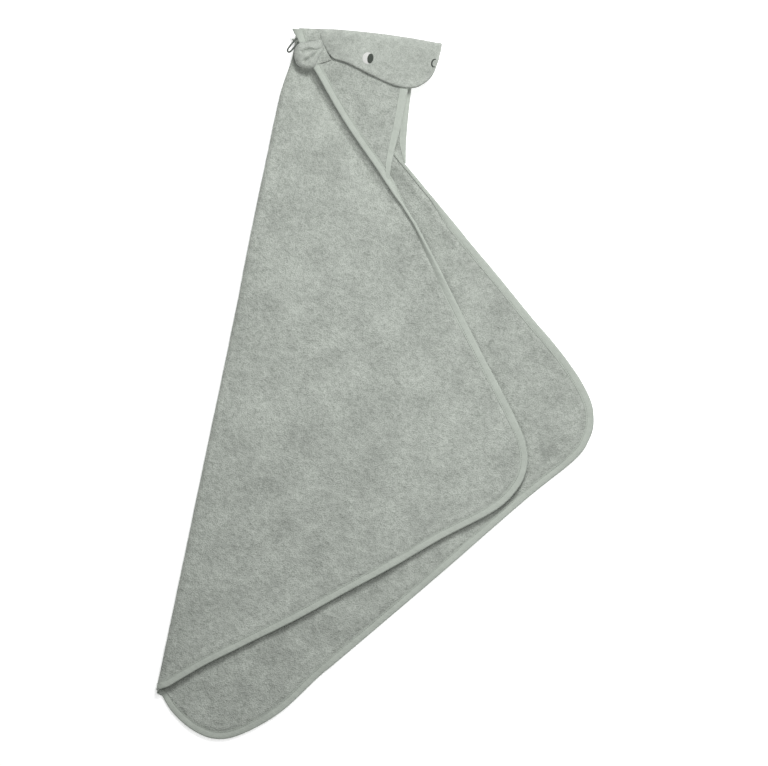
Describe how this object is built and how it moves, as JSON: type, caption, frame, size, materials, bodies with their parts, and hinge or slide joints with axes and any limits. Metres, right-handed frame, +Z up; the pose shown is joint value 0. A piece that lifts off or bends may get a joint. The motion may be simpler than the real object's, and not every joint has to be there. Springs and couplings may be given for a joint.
{
  "type": "hooded baby towel",
  "caption": "Square cotton towel with taped edges, folded along its spine, with a hood that has an animal face, a short snout, ears and a hanging loop.",
  "frame": {"origin": "middle of the folded towel's footprint, at the level of the surface it lies on", "axes": "+Y along the spine towards the hood, +X from the spine towards the free corners, +Z up from the surface"},
  "size_m": [0.5094, 0.981, 0.0258],
  "materials": {
    "cotton_terry": "cut cotton towelling, soft and matt",
    "edge_tape": "smooth woven cotton bias tape, matt",
    "velour_terry": "short-pile cotton towelling, matt",
    "cotton_lining": "plain woven cotton, matt",
    "white_thread": "satin-stitched embroidery thread",
    "dark_thread": "satin-stitched embroidery thread",
    "loop_cord": "flat woven cord, matt"
  },
  "bodies": {
    "towel": {"lower_layer": "cotton_terry", "spine_fold": "cotton_terry", "upper_layer": "cotton_terry", "hood_side_near": "cotton_terry", "hood_side_far": "cotton_terry", "hood_crown": "cotton_terry", "lower_layer_tape": "edge_tape", "near_seam_tape": "edge_tape", "hood_front_tape_near": "edge_tape", "hood_front_tape_far": "edge_tape", "face_panel_near": "velour_terry", "face_panel_far": "velour_terry", "face_crown": "velour_terry", "snout_lining_near": "cotton_lining", "snout_lining_far": "cotton_lining", "eye_white_near": "white_thread", "eye_white_far": "white_thread", "eye_pupil_near": "dark_thread", "eye_pupil_far": "dark_thread", "nostril_near": "dark_thread", "nostril_far": "dark_thread"},
    "upper_flap": {"upper_flap": "cotton_terry", "upper_flap_tape": "edge_tape"},
    "ear_near": {"ear_outer_near": "velour_terry", "ear_inner_near": "cotton_lining"},
    "ear_far": {"ear_outer_far": "velour_terry", "ear_inner_far": "cotton_lining"},
    "hanging_loop": {"hanging_loop": "loop_cord"}
  },
  "joints": [
    {"name": "upper_layer_fold_back", "type": "hinge", "parent": "towel", "child": "upper_flap", "pos_m": [-0.0841, 0.29247, 0.0175], "axis": [-0.2044, -0.9789, 0], "range_deg": [0, 175]},
    {"name": "ear_near_flap", "type": "hinge", "parent": "towel", "child": "ear_near", "pos_m": [-0.21025, 0.45926, 0.0247], "axis": [-0.5665, 0.824, 0], "range_deg": [0, 140]},
    {"name": "ear_far_flap", "type": "hinge", "parent": "towel", "child": "ear_far", "pos_m": [-0.21025, 0.45926, 0.0013], "axis": [0.5665, -0.824, 0], "range_deg": [0, 140]},
    {"name": "hanging_loop_swing", "type": "hinge", "parent": "towel", "child": "hanging_loop", "pos_m": [-0.24275, 0.45576, 0.023], "axis": [-0.8944, 0.4472, 0], "range_deg": [0, 150]}
  ]
}
